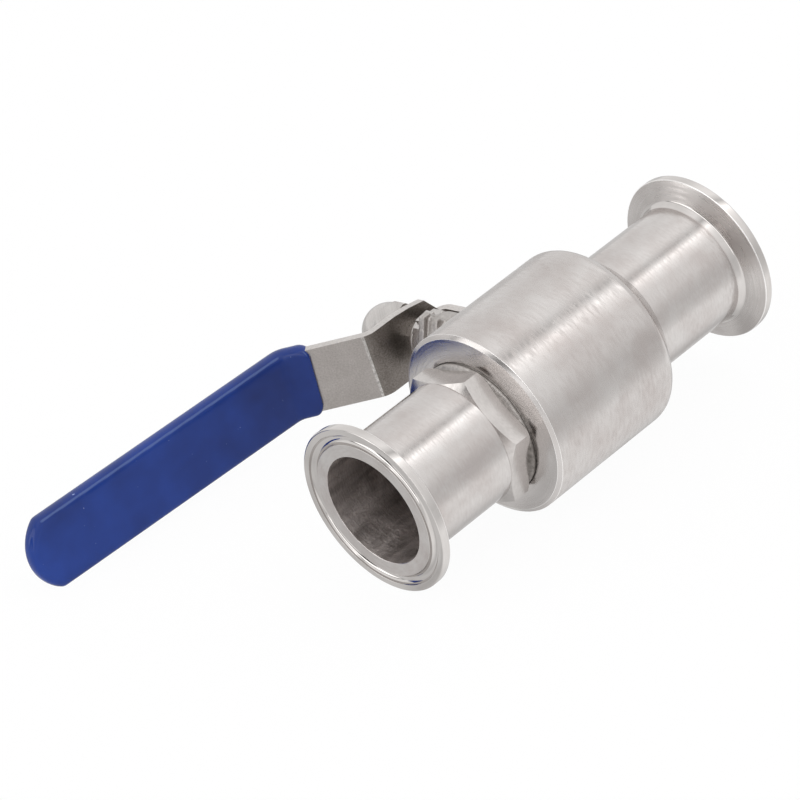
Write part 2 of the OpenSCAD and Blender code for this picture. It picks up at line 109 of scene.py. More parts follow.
def drawn_outline(name, places):
    """Draws a closed wire outline vertex by vertex and leaves it selected in edit mode."""
    deselect_all()
    bpy.ops.mesh.primitive_plane_add(size=MM)
    piece = bpy.context.object
    piece.name = name
    bpy.ops.object.mode_set(mode="EDIT")
    bpy.ops.mesh.merge(type="CENTER")
    bpy.ops.transform.translate(value=places[0])
    for here, there in zip(places, places[1:] + places[:1]):
        bpy.ops.mesh.extrude_region_move(TRANSFORM_OT_translate={"value": there - here})
    bpy.ops.mesh.select_all(action="SELECT")
    bpy.ops.mesh.remove_doubles(threshold=same_point)
    return piece


def close_shell(piece):
    """Merges doubles, points the faces outwards and leaves edit mode with smooth shading."""
    bpy.ops.mesh.select_all(action="SELECT")
    bpy.ops.mesh.remove_doubles(threshold=same_point)
    bpy.ops.mesh.normals_make_consistent(inside=False)
    smooth_faces(piece, angle=35)


def spin_outline(name, outline, axis, steps=192):
    """Spins an outline of (along, radius) in millimetres about the pipe axis X or the stem axis Z."""
    along = Vector((1, 0, 0)) if axis == "X" else Vector((0, 0, 1))
    outward = Vector((0, 1, 0)) if axis == "X" else Vector((1, 0, 0))
    piece = drawn_outline(name, [(along * a + outward * r) * MM for a, r in outline])
    bpy.ops.mesh.spin(steps=steps, angle=math.tau, center=(0, 0, 0), axis=along)
    close_shell(piece)
    return piece


def fill(node, sockets):
    """Sets a node's sockets to plain values or links them to other nodes' outputs."""
    for socket, source in sockets.items():
        if isinstance(source, bpy.types.NodeSocket):
            node.id_data.links.new(source, node.inputs[socket])
        else:
            node.inputs[socket].default_value = source
    return node


def adder(tree):
    """A function that adds a node of a kind to a tree, with its sockets filled and its settings."""

    def add(kind, sockets=None, **settings):
        node = tree.nodes.new(kind)
        for setting, value in settings.items():
            setattr(node, setting, value)
        return fill(node, sockets or {})

    return add


def mapped(add, value, old, new=(0, 1)):
    """A value taken from an old range to a new one and kept inside it."""
    return add("ShaderNodeMapRange", {
        "Value": value, "From Min": old[0], "From Max": old[1], "To Min": new[0], "To Max": new[1],
    }).outputs[0]


def share_plus(add, first, share, second):
    """The first value times a share, plus the second value."""
    return add("ShaderNodeMath", {0: first, 1: share, 2: second}, operation="MULTIPLY_ADD").outputs[0]


def blended(add, tone, first, second):
    """A colour that goes from the first to the second as the tone rises from 0 to 1."""
    mix = add("ShaderNodeMix", {"Factor": tone, "A": first, "B": second}, data_type="RGBA")
    return mix.outputs["Result"]


def bumped(add, height, depth, strength=1.0):
    """A surface bumped by a height from 0 to 1, with its depth in millimetres."""
    return add("ShaderNodeBump", {
        "Height": height, "Strength": strength, "Distance": depth * MM,
    }).outputs[0]


def new_material(name):
    """A new material, its Principled shader and a function that adds nodes to it."""
    material = bpy.data.materials.new(name)
    material.use_nodes = True
    tree = material.node_tree
    return material, tree.nodes["Principled BSDF"], adder(tree)


def new_group(name, given, wanted):
    """A new node group, a function that adds nodes to it and what its named inputs give."""
    group = bpy.data.node_groups.new(name, "ShaderNodeTree")
    for socket, value in given.items():
        made = group.interface.new_socket(socket, in_out="INPUT", socket_type="NodeSocketFloat")
        made.default_value = value
    for socket in wanted:
        group.interface.new_socket(socket, in_out="OUTPUT", socket_type="NodeSocketFloat")
    add = adder(group)
    return group, add, add("NodeGroupInput").outputs


def turning_marks():
    """Node group: fine tool rings, which follow faces as well as barrels, and broad streaks."""
    group, add, given = new_group(
        "turning_marks",
        {"Fineness": 2500.0, "Wander": 3.0, "Grain": 2.2, "Run": 0.06},
        ("Rings", "Streaks"),
    )

    def scaled(vector, scale):
        """A vector times a scale."""
        return add("ShaderNodeVectorMath", {0: vector, "Scale": scale}, operation="SCALE").outputs[0]

    def noise_at(first, second):
        """A fine noise, read at the sum of two vectors."""
        place = add("ShaderNodeVectorMath", {0: first, 1: second}, operation="ADD").outputs[0]
        return add("ShaderNodeTexNoise", {"Vector": place, "Scale": 1.0, "Detail": 3.0}).outputs[0]

    place = add("ShaderNodeTexCoord").outputs["Object"]
    along = add("ShaderNodeSeparateXYZ", {0: place}).outputs["X"]
    across = add("ShaderNodeVectorMath", {0: place, 1: (0, 1, 1)}, operation="MULTIPLY").outputs[0]
    around = add("ShaderNodeVectorMath", {0: across}, operation="NORMALIZE").outputs[0]
    radius = add("ShaderNodeVectorMath", {0: across}, operation="LENGTH").outputs["Value"]
    # A ring's place counts the way along the pipe and a share of the way out from its axis.
    radius_share = 0.83
    ring_place = share_plus(add, radius, radius_share, along)
    fine = scaled(add("ShaderNodeCombineXYZ", {"X": ring_place}).outputs[0], given["Fineness"])
    add("NodeGroupOutput", {
        "Rings": noise_at(fine, scaled(around, given["Wander"])),
        "Streaks": noise_at(scaled(around, given["Grain"]), scaled(fine, given["Run"])),
    })
    return group


def handling_marks():
    """Node group: cloudy smears and small nicks left by handling."""
    group, add, given = new_group("handling_marks", {"Size": 60.0}, ("Smears", "Nicks"))
    nicks_to_smears = 9.0
    deep_enough = (0.66, 0.74)
    place = add("ShaderNodeTexCoord").outputs["Object"]
    smears = add("ShaderNodeTexNoise", {
        "Vector": place, "Scale": given["Size"], "Detail": 4.0, "Distortion": 0.6,
    })
    nick_size = add("ShaderNodeMath", {0: given["Size"], 1: nicks_to_smears}, operation="MULTIPLY")
    nicks = add("ShaderNodeTexNoise", {
        "Vector": place, "Scale": nick_size.outputs[0], "Detail": 5.0, "Roughness": 0.7,
    })
    add("NodeGroupOutput", {
        "Smears": smears.outputs[0], "Nicks": mapped(add, nicks.outputs[0], deep_enough),
    })
    return group


TURNING = turning_marks()
HANDLING = handling_marks()


def turned_steel(name, light, dark, gloss, dull, fineness, depth, wander=3.0, grain=2.2, run=0.06):
    """Turned stainless steel: colours and roughness drift with streaks, smears and fine rings."""
    ring_tone, nick_height = 0.22, -0.5
    tone_range, ring_range = (0.23, 0.49), (0.3, 0.7)
    material, shader, add = new_material(name)
    marks = add(
        "ShaderNodeGroup", {"Fineness": fineness, "Wander": wander, "Grain": grain, "Run": run},
        node_tree=TURNING,
    ).outputs
    wear = add("ShaderNodeGroup", node_tree=HANDLING).outputs
    drift = add("ShaderNodeMath", {0: marks["Streaks"], 1: wear["Smears"]}, operation="MULTIPLY")
    tone = mapped(add, share_plus(add, marks["Rings"], ring_tone, drift.outputs[0]), tone_range)
    height = share_plus(add, wear["Nicks"], nick_height, marks["Rings"])
    fill(shader, {
        "Base Color": blended(add, tone, (*light, 1), (*dark, 1)),
        "Roughness": mapped(add, marks["Rings"], ring_range, (gloss, dull)),
        "Normal": bumped(add, height, depth),
        "Metallic": 1.0,
    })
    return material


def finish(piece, slot, materials, body, *stands_for, which=None):
    """Gives a piece its materials and moving body, and hides the CAD nodes it stands for. The slot is not
    used.
    """
    piece.data.materials.clear()
    for material in materials:
        piece.data.materials.append(material)
    for face in piece.data.polygons:
        face.material_index = which(face) if which else 0
    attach(piece, body)
    if stands_for:
        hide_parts(*stands_for)


TUBE_STEEL = turned_steel(
    "tube_steel", (0.655, 0.632, 0.62), (0.56, 0.52, 0.505),
    gloss=0.07, dull=0.27, fineness=1700.0, depth=0.014, wander=8.0,
)
FLANGE_STEEL = turned_steel(
    "flange_steel", (0.70, 0.675, 0.66), (0.60, 0.575, 0.56),
    gloss=0.04, dull=0.09, fineness=2200.0, depth=0.0005,
)
SLOPE_STEEL = turned_steel(
    "slope_steel", (0.66, 0.63, 0.615), (0.54, 0.51, 0.495),
    gloss=0.2, dull=0.38, fineness=2600.0, depth=0.006, wander=2.0,
)
# Painted light and shade: the bore's streaks run from near-white, standing in for light mirrored from the
# opening, to dark, standing in for shade inside; they lie at random along the pipe.
BORE_LIGHT_AND_SHADE_STEEL = turned_steel(
    "bore_light_and_shade_steel", (0.95, 0.885, 0.86), (0.26, 0.232, 0.22),
    gloss=0.32, dull=0.6, fineness=2600.0, depth=0.03, wander=8.0, grain=3.4, run=0.006,
)
# Painted highlight: near-white steel for the thin bright lines along edges and rims.
EDGE_HIGHLIGHT_STEEL = turned_steel(
    "edge_highlight_steel", (1.0, 0.98, 0.97), (0.85, 0.83, 0.82),
    gloss=0.15, dull=0.4, fineness=1800.0, depth=0.006,
)
tube_r, bore_r, flange_r = 18.45, 16.5, 25.25
flange_t, flange_slope = 2.6, math.radians(20)
groove_r, groove_deep, groove_at = 1.5, 1.485, 21.75
bore_round, groove_round, rim_round, slope_round = 0.25, 0.12, 0.45, 1.2
fillet_up, fillet_along, fillet_round = 0.8, 1.6, 1.4


def ferrule_corners(face, weld):
    """Corners of a ferrule's section, from its sealing face at x = face to its weld at x = weld."""
    way = 1 if face > weld else -1
    slope_end = tube_r + fillet_up
    drop = (flange_r - slope_end) * math.tan(flange_slope)
    steps = 14
    groove = [
        (face - way * groove_deep * math.sin(math.pi * k / steps),
         groove_at - groove_r * math.cos(math.pi * k / steps), 0)
        for k in range(1, steps)
    ]
    return [
        (face, bore_r, bore_round),
        (face, groove_at - groove_r, groove_round), *groove, (face, groove_at + groove_r, groove_round),
        (face, flange_r, rim_round),
        (face - way * flange_t, flange_r, rim_round),
        (face - way * (flange_t + drop), slope_end, slope_round),
        (face - way * (flange_t + drop + fillet_along), tube_r, fillet_round),
        (weld, tube_r, 0), (weld, bore_r, 0),
    ]


def radius_of(face):
    """How far a face's centre is from the pipe axis, in millimetres."""
    return math.hypot(face.center.y, face.center.z) / MM


def ferrule_finish(face):
    """0 the brushed tube, 1 the polished flange, 2 the bore, 3 the flange's sloped back, 4 its rim, painted
    near-white as a highlight.
    """
    skin, rim_w, slope_w = 0.05, 0.5, 5.45
    lean_low, lean_high = 0.15, 0.85
    radius = radius_of(face)
    if radius < bore_r + skin:
        return 2
    if radius < tube_r + skin:
        return 0
    lean = face.normal.x * (1 if face.center.x < 0 else -1)
    if radius > flange_r - rim_w and lean_low < lean < lean_high:
        return 4
    return 3 if lean > lean_high and radius > flange_r - slope_w else 1


for part, in_front in (("front_ferrule", True), ("rear_ferrule", False)):
    low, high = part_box(part)
    sealing_face, weld_end = (high.x, low.x) if in_front else (low.x, high.x)
    outline = rounded(ferrule_corners(sealing_face / MM, weld_end / MM), steps=5)
    ferrule = spin_outline(part + "_turned", outline, "X", steps=256)
    finish(
        ferrule, "polished_steel", (TUBE_STEEL, FLANGE_STEEL, BORE_LIGHT_AND_SHADE_STEEL, SLOPE_STEEL, EDGE_HIGHLIGHT_STEEL),
        "valve_body", part, which=ferrule_finish,
    )

# Body barrel: a stainless casting turned bright all over outside, bored from
# the front for ball, seats and connector. The tool left fine chatter rings.

BARREL_STEEL = turned_steel(
    "barrel_steel", (0.64, 0.617, 0.605), (0.53, 0.49, 0.475),
    gloss=0.06, dull=0.36, fineness=1300.0, depth=0.03, wander=8.0,
)
FACED_STEEL = turned_steel(
    "faced_steel", (0.66, 0.635, 0.625), (0.58, 0.55, 0.535),
    gloss=0.18, dull=0.3, fineness=2600.0, depth=0.0005,
)
barrel_r, barrel_front, barrel_back = 27.9, 31.4, -21.94
face_edge_r, face_hollow, chamfer_back = 26.7, 0.75, 29.9
shoulder_front, shoulder_foot_r, shoulder_round = -15.28, 20.5, 4.0
mouth_round, face_round, chamfer_round, shoulder_foot_round = 0.2, 0.5, 0.2, 0.3
mouth_r, cavity_r, pocket_r, port_r = 20.05, 19.0, 17.55, 12.5
cavity_front, pocket_front, pocket_back, throat_back = 11.0, -10.6, -17.0, -17.5
stem_hole_r, shoulder_hole_r = 5.05, 7.05
in_cavity, shoulder_hole_top, above_barrel, overlap = 10.0, 24.0, 30.0, 2.0


def cut(piece, cutter, operation="DIFFERENCE"):
    """Cuts a piece by another, which is then thrown away."""
    pick(piece)
    tool = piece.modifiers.new("cut", "BOOLEAN")
    tool.operation = operation
    tool.solver = "EXACT"
    tool.object = cutter
    bpy.ops.object.modifier_apply(modifier=tool.name)
    bpy.data.objects.remove(cutter)


def drill(piece, radius, low, high):
    """Drills a piece along the stem axis between two heights in millimetres."""
    deselect_all()
    bpy.ops.mesh.primitive_cylinder_add(
        vertices=96, radius=radius * MM, depth=(high - low) * MM, location=(0, 0, (low + high) / 2 * MM)
    )
    cut(piece, bpy.context.object)


barrel = spin_outline("body_barrel", rounded((
    (barrel_front, mouth_r, mouth_round), (barrel_front - face_hollow, face_edge_r, face_round),
    (chamfer_back, barrel_r, chamfer_round), (shoulder_front, barrel_r, shoulder_round),
    (barrel_back, shoulder_foot_r, shoulder_foot_round), (barrel_back, bore_r, 0),
    (throat_back, port_r, 0), (pocket_back, port_r, 0),
    (pocket_back, pocket_r, 0), (pocket_front, pocket_r, 0),
    (pocket_front, cavity_r, 0), (cavity_front, cavity_r, 0), (cavity_front, mouth_r, 0),
)), "X", steps=256)
drill(barrel, shoulder_hole_r, in_cavity, shoulder_hole_top)
drill(barrel, stem_hole_r, shoulder_hole_top - overlap, above_barrel)
smooth_faces(barrel, angle=35)


def barrel_finish(face):
    """0 the barrel, 1 the front face and chamfer, 2 the edges beside the chamfer, painted near-white as a
    highlight.
    """
    edge_w = 0.2
    side, chamfer_low, chamfer_high, front = 0.1, 0.8, 0.88, 0.985
    tilt = face.normal.x
    if face.center.x < (chamfer_back - edge_w) * MM or tilt < side:
        return 0
    return 1 if chamfer_low <= tilt <= chamfer_high or tilt >= front else 2


finish(
    barrel, "body_steel", (BARREL_STEEL, FACED_STEEL, EDGE_HIGHLIGHT_STEEL), "valve_body", "body",
    which=barrel_finish,
)

# Rear weld: a fillet of weld metal all round the joint of tube and shoulder,
# dressed to a smooth hollow.

# Its hollow side from the shoulder to the tube, as (way along the tube, way out from it).
bead_hollow = ((0, 1.6), (0.25, 0.95), (0.55, 0.5), (0.95, 0.2), (1.6, 0))
bead = spin_outline("rear_weld_bead", [(barrel_back, tube_r)] + [
    (barrel_back - along, tube_r + out) for along, out in bead_hollow
], "X", steps=128)
finish(bead, "body_steel", (BARREL_STEEL,), "valve_body", "rear_weld")

# Neck and stops: part of the body casting, left with its rough blasted skin.
# A flared foot carries the neck, and two ears stop the lever's tail.


def cast_steel(name, light, dark, gloss, dull, grain, depth):
    """Cast or blasted steel: a fine speckle of pits over slow stains."""
    stain_size, stain_tone, tone_range = 90.0, 0.5, (0.5, 1.0)
    material, shader, add = new_material(name)
    place = add("ShaderNodeTexCoord").outputs["Object"]
    pits = add("ShaderNodeTexNoise", {
        "Vector": place, "Scale": grain, "Detail": 4.0, "Roughness": 0.65,
    }).outputs[0]
    wear = add("ShaderNodeGroup", {"Size": stain_size}, node_tree=HANDLING).outputs
    tone = mapped(add, share_plus(add, wear["Smears"], stain_tone, pits), tone_range)
    fill(shader, {
        "Base Color": blended(add, tone, (*dark, 1), (*light, 1)),
        "Roughness": mapped(add, pits, (0, 1), (gloss, dull)),
        "Normal": bumped(add, pits, depth),
        "Metallic": 1.0,
    })
    return material


CAST_STEEL = cast_steel(
    "cast_steel", (0.60, 0.57, 0.55), (0.34, 0.32, 0.305), gloss=0.3, dull=0.5, grain=900.0, depth=0.12
)
neck_r, neck_top, neck_core_r = 8.7, 45.7, 4.0
foot_r, foot_low, foot_high, flare_top = 14.5, 22.6, 24.9, 29.9
foot_round, flare_round, neck_round = 0.8, 1.6, 0.5
ear_side, turned_ear_side = 2.75, 5.45
ear_t, ear_w, ear_tip, ear_foot, ear_turn = 2.2, 2.65, 11.7, 9.8, math.radians(23)
ear_face, ear_heel_x, ear_heel_y = 0.8, neck_r / 2, neck_r * 0.9
ear_round, ear_back_round = 0.3, 1.0
web_h, web_in, web_drop = 3.6, 1.3, 1.0
gland_r, gland_floor, below_foot, above_floor = 7.5, 30.6, 20.0, 32.0


def plate(name, outline, low, high):
    """Raises an outline of (x, y) in millimetres into a plate between two heights."""
    piece = drawn_outline(name, [Vector((x, y, low)) * MM for x, y in outline])
    bpy.ops.mesh.edge_face_add()
    bpy.ops.mesh.extrude_region_move(TRANSFORM_OT_translate={"value": (0, 0, (high - low) * MM)})
    close_shell(piece)
    return piece


def ear_outline(side, inset, turned):
    """Outline of a stop ear, its working face at x = side and its edges set back by the inset.

    A turned ear is swung round to the -X side.
    """
    tip, foot = ear_tip - inset, ear_foot - inset
    corners = rounded((
        (side, tip, ear_round), (side + ear_w - inset, tip, ear_back_round),
        (foot * math.cos(ear_turn), foot * math.sin(ear_turn), 0), (0, 0, 0),
        (side - ear_heel_x, ear_heel_y, 0), (side, tip - ear_face, 0),
    ), steps=4)
    return [Vector((-y, -x)) for x, y in corners] if turned else corners


def soften(piece, cell, passes):
    """Turns a piece into one closed skin of cells, sized in millimetres, and smooths it."""
    pick(piece)
    skin = piece.modifiers.new("skin", "REMESH")
    skin.mode = "VOXEL"
    skin.voxel_size = cell * MM
    bpy.ops.object.modifier_apply(modifier=skin.name)
    soft = piece.modifiers.new("soft", "SMOOTH")
    soft.factor, soft.iterations = 0.5, passes
    bpy.ops.object.modifier_apply(modifier=soft.name)


neck = spin_outline("body_neck", rounded((
    (foot_low, foot_r, 0), (foot_high, foot_r, foot_round), (flare_top, neck_r, flare_round),
    (neck_top, neck_r, neck_round), (neck_top, neck_core_r, 0), (foot_low, neck_core_r, 0),
)), "Z", steps=96)
lumps = [neck]
ear_low = neck_top - ear_t
for side, turned in ((ear_side, False), (turned_ear_side, True)):
    lumps.append(plate("ear", ear_outline(side, 0, turned), ear_low, neck_top))
    lumps.append(plate("ear_web", ear_outline(side, web_in, turned), ear_low - web_h, neck_top - web_drop))
deselect_all()
for lump in lumps:
    lump.select_set(True)
bpy.context.view_layer.objects.active = neck
bpy.ops.object.join()
soften(neck, cell=0.28, passes=4)
drill(neck, gland_r, gland_floor, neck_top + overlap)
drill(neck, stem_hole_r, below_foot, above_floor)
smooth_faces(neck, angle=40)
finish(neck, "body_steel", (CAST_STEEL,), "valve_body")

# End connector: screwed into the body. Its hexagon is milled, its front rim is
# turned down to the tube by a cone, and the last thread shows behind it.

HEXAGON_STEEL = turned_steel(
    "hexagon_steel", (0.68, 0.65, 0.635), (0.55, 0.525, 0.51),
    gloss=0.16, dull=0.27, fineness=1500.0, depth=0.004, wander=14.0,
)
THREAD_STEEL = cast_steel(
    "thread_steel", (0.40, 0.37, 0.35), (0.12, 0.11, 0.10), gloss=0.35, dull=0.55, grain=700.0, depth=0.2
)
hexagon_af, hexagon_back, hexagon_len, hexagon_front = 37.0, 32.7, 5.5, 39.8
hexagon_turn, hexagon_hole_r = math.radians(36.9), 17.0
bar_len, bar_middle = 9.0, hexagon_back + 3.5
back_chamfer, back_chamfer_len, clear, cone_step = 0.6, 0.45, 0.2, 0.05


def hexagon_bar(name, across_flats, length, place):
    """A length of six-sided bar, made upright and then put in its place."""
    deselect_all()
    bpy.ops.mesh.primitive_cylinder_add(
        vertices=6, radius=across_flats / math.sqrt(3) * MM, depth=length * MM, location=(0, 0, 0)
    )
    bar = bpy.context.object
    bar.name = name
    bar.matrix_world = place
    bpy.ops.object.transform_apply(location=True, rotation=True, scale=True)
    return bar


def break_edges(piece, width, angle=25):
    """Breaks the sharp edges of a piece by a small round and keeps its flat faces flat."""
    smooth_faces(piece, angle)
    edge = piece.modifiers.new("broken_edges", "BEVEL")
    edge.width = width * MM
    edge.segments = 2
    edge.limit_method = "ANGLE"
    edge.angle_limit = math.radians(angle)
    edge.use_clamp_overlap = True
    edge.harden_normals = True
    bpy.ops.object.modifier_apply(modifier=edge.name)


# The bar is laid along X and turned to the real corner, then cut by a turned cone in front and a
# small one behind.
hexagon = hexagon_bar(
    "connector_hexagon", hexagon_af, bar_len,
    Matrix.Translation((bar_middle * MM, 0, 0))
    @ Matrix.Rotation(hexagon_turn, 4, "X")
    @ Matrix.Rotation(math.pi / 2, 4, "Y"),
)
corner_r, cone_back = hexagon_af / math.sqrt(3), hexagon_back + hexagon_len
cut(hexagon, spin_outline("cone", (
    (hexagon_back, hexagon_hole_r), (hexagon_back, corner_r - back_chamfer),
    (hexagon_back + back_chamfer_len, corner_r + clear), (cone_back, corner_r + clear),
    (cone_back, corner_r), (hexagon_front, tube_r + cone_step), (hexagon_front, hexagon_hole_r),
), "X"), "INTERSECT")
break_edges(hexagon, width=0.35)


def hexagon_finish(face):
    """0 the milled flats and turned cone, 1 the lines where they meet, painted near-white as a highlight.
    """
    upright, cone_tilt, flat_spread = 0.05, 0.84, 5
    turn = math.degrees(math.atan2(face.normal.z, face.normal.y) - hexagon_turn) % 60
    tilt = abs(face.normal.x)
    return int(upright < tilt < cone_tilt or (tilt <= upright and abs(turn - 30) > flat_spread))


finish(
    hexagon, "body_steel", (HEXAGON_STEEL, EDGE_HIGHLIGHT_STEEL), "valve_body", "end_cap", which=hexagon_finish
)

nose_at, nose_round, seat_floor = 12.5, 0.4, 17.0
throat_front, taper_front, taper_r = 20.0, 23.0, port_r + 0.6
thread_r, thread_end = 20.0, 31.0
shank_r, shank_back, shank_front = 17.6, hexagon_back + 0.6, hexagon_front - 0.01
# The last thread as (along, radius, round): its root, its crest and its end.
last_thread = (
    (31.4, 19.82, 0), (31.6, 19.82, 0.1), (32.0, 19.98, 0.15), (32.4, 19.98, 0.2), (32.8, 19.4, 0),
)
shank = spin_outline("connector_shank", rounded((
    (nose_at, pocket_r, 0), (nose_at, thread_r, nose_round), (thread_end, thread_r, 0), *last_thread,
    (shank_back, shank_r, 0), (shank_front, shank_r, 0), (shank_front, bore_r, 0),
    (taper_front, taper_r, 0), (throat_front, port_r, 0), (seat_floor, port_r, 0),
    (seat_floor, pocket_r, 0),
), steps=3), "X")


def shank_finish(face):
    """0 the bare thread, 1 a darker sector of it, from 222 to 276 degrees round, 2 the throat."""
    skin, dark_from, dark_to = 0.1, 222, 276
    if radius_of(face) < shank_r + skin:
        return 2
    turn = math.degrees(math.atan2(face.center.z, face.center.y)) % 360
    return 1 if dark_from < turn < dark_to else 0


finish(
    shank, "body_steel", (CAST_STEEL, THREAD_STEEL, BORE_LIGHT_AND_SHADE_STEEL), "valve_body", which=shank_finish
)

# Small fittings on the stem: packing nut, tab washer, spring washer, stem,
# gland follower and disc springs, all machined and left bright.


def eased_copy(name, part, width):
    """Copy of a CAD node, its triangles merged to faces and its sharp edges broken by a width."""
    same_corner, nearly_flat = 0.002 * MM, math.radians(0.4)
    piece = parts[part].copy()
    piece.data = parts[part].data.copy()
    piece.name = name
    bpy.context.scene.collection.objects.link(piece)
    piece.parent = None
    piece.matrix_world = Matrix.Identity(4)
    pick(piece)
    bpy.ops.mesh.customdata_custom_splitnormals_clear()
    bpy.ops.object.mode_set(mode="EDIT")
    bpy.ops.mesh.select_all(action="SELECT")
    bpy.ops.mesh.remove_doubles(threshold=same_corner)
    bpy.ops.mesh.dissolve_limited(angle_limit=nearly_flat)
    bpy.ops.object.mode_set(mode="OBJECT")
    if width:
        break_edges(piece, width, angle=32)
    return piece


FITTING_STEEL = turned_steel(
    "fitting_steel", (0.68, 0.655, 0.64), (0.50, 0.48, 0.465),
    gloss=0.16, dull=0.3, fineness=2400.0, depth=0.004, wander=8.0,
)
for part, edge_w, slot in (
    ("packing_nut", 0.25, "plain_steel"), ("tab_washer", 0.1, "plain_steel"),
    ("spring_washer", 0.12, "spring_steel"), ("stem", 0.12, "plain_steel"),
    ("gland_follower", 0.12, "plain_steel"),
    ("disc_spring_lower", 0.1, "spring_steel"), ("disc_spring_upper", 0.1, "spring_steel"),
):
    fitting = eased_copy(part + "_bright", part, edge_w)
    rides = "valve_body" if part == "gland_follower" else "lever_set"
    finish(fitting, slot, (FITTING_STEEL,), rides, part)

# Domed nut: turned from six-sided bar to a collar and a round dome, polished,
# and screwed on the stem's end to hold the lever.

nut_seat, nut_af, nut_turn = 60.2, 16.4, math.radians(41.5)
nut_bar_len, nut_bar_middle = 20.0, nut_seat + 9
nut_hole_r, nut_face_r, nut_clear_r, nut_chamfer, nut_round = 5.05, 9.2, 9.6, 0.4, 0.2
flats_top, collar_top, collar_r, collar_round = nut_seat + 3.6, nut_seat + 5.6, 8.7, 1.0
dome_r, dome_at, dome_foot, dome_foot_r, dome_steps = 8.1, 68.1, 67.5, 8.12, 16
tip_r, tip_drop, hole_shoulder, hole_end = 0.4, 0.01, 2.0, 5.0
cap_nut = hexagon_bar(
    "cap_nut_domed", nut_af, nut_bar_len,
    Matrix.Translation((0, 0, nut_bar_middle * MM)) @ Matrix.Rotation(nut_turn + math.pi / 6, 4, "Z"),
)
dome = [
    (dome_at + dome_r * math.sin(math.pi / 2 * t / dome_steps),
     dome_r * math.cos(math.pi / 2 * t / dome_steps), 0)
    for t in range(dome_steps)
]
cut(cap_nut, spin_outline("nut_form", rounded((
    (nut_seat, nut_hole_r, nut_round), (nut_seat, nut_face_r, nut_round),
    (nut_seat + nut_chamfer, nut_clear_r, 0), (flats_top, nut_clear_r, 0),
    (collar_top, collar_r, collar_round), (dome_foot, dome_foot_r, 0), *dome,
    (dome_at + dome_r - tip_drop, tip_r, 0), (dome_at + hole_end, tip_r, 0),
    (dome_at + hole_shoulder, nut_hole_r, 0),
), steps=4), "Z", steps=128), "INTERSECT")
break_edges(cap_nut, width=0.2)
finish(cap_nut, "polished_steel", (FITTING_STEEL,), "lever_set", "cap_nut")

# Lever: flat bar sheared to shape, bent twice and bead-blasted. Its sheared
# edges are brighter than its faces; its head's underside is painted darker as shade,
# and its bend's crown and its burrs carry a painted highlight.

LEVER_STEEL = cast_steel(
    "lever_steel", (0.62, 0.58, 0.56), (0.42, 0.39, 0.37), gloss=0.26, dull=0.4, grain=2300.0, depth=0.04
)
# Painted shade: a darker steel for the head's underside.
HEAD_SHADE_STEEL = cast_steel(
    "head_shade_steel", (0.40, 0.365, 0.34), (0.16, 0.142, 0.128), gloss=0.26, dull=0.4, grain=2300.0, depth=0.06
)
SHEARED_STEEL = cast_steel(
    "sheared_steel", (0.74, 0.71, 0.69), (0.50, 0.475, 0.46), gloss=0.22, dull=0.4, grain=1500.0, depth=0.02
)
# Painted highlight: a near-white band on the bend's crown.
BEND_HIGHLIGHT_STEEL = cast_steel(
    "bend_highlight_steel", (0.98, 0.95, 0.93), (0.30, 0.28, 0.265), gloss=0.22, dull=0.45, grain=1300.0, depth=0.06
)
# Painted highlight: near-white burrs along the sheared edges.
BURR_HIGHLIGHT_STEEL = cast_steel(
    "burr_highlight_steel", (0.95, 0.93, 0.92), (0.50, 0.47, 0.45), gloss=0.2, dull=0.4, grain=2600.0, depth=0.05
)


def lever_finish(face):
    """0 the blasted faces, 1 the sheared sides, 2 burrs beside them, painted near-white as a highlight,
    3 the head's underside, painted darker as shade, and 4 the crown of the bend next to it,
    painted near-white as a highlight.
    """
    burr, side = 0.2, 0.97
    underside, crown = -0.8, -0.68
    tail_end, head_top = -8 * MM, 60 * MM
    sideways, upward = abs(face.normal.y), face.normal.z
    if sideways > burr:
        return 1 if sideways > side else 2
    if face.center.x > tail_end and face.center.z < head_top:
        return 3 if upward < underside else 4 if upward < crown else 0
    return 0


lever = eased_copy("lever_plate", "lever", width=0.2)
finish(
    lever, "blasted_steel", (LEVER_STEEL, SHEARED_STEEL, BURR_HIGHLIGHT_STEEL, HEAD_SHADE_STEEL, BEND_HIGHLIGHT_STEEL),
    "lever_set", "lever", which=lever_finish,
)

# Grip sleeve: the lever's grip dipped in blue vinyl. The skin has soft edges,
# a slightly uneven thickness and a satin shine with faint clouds.


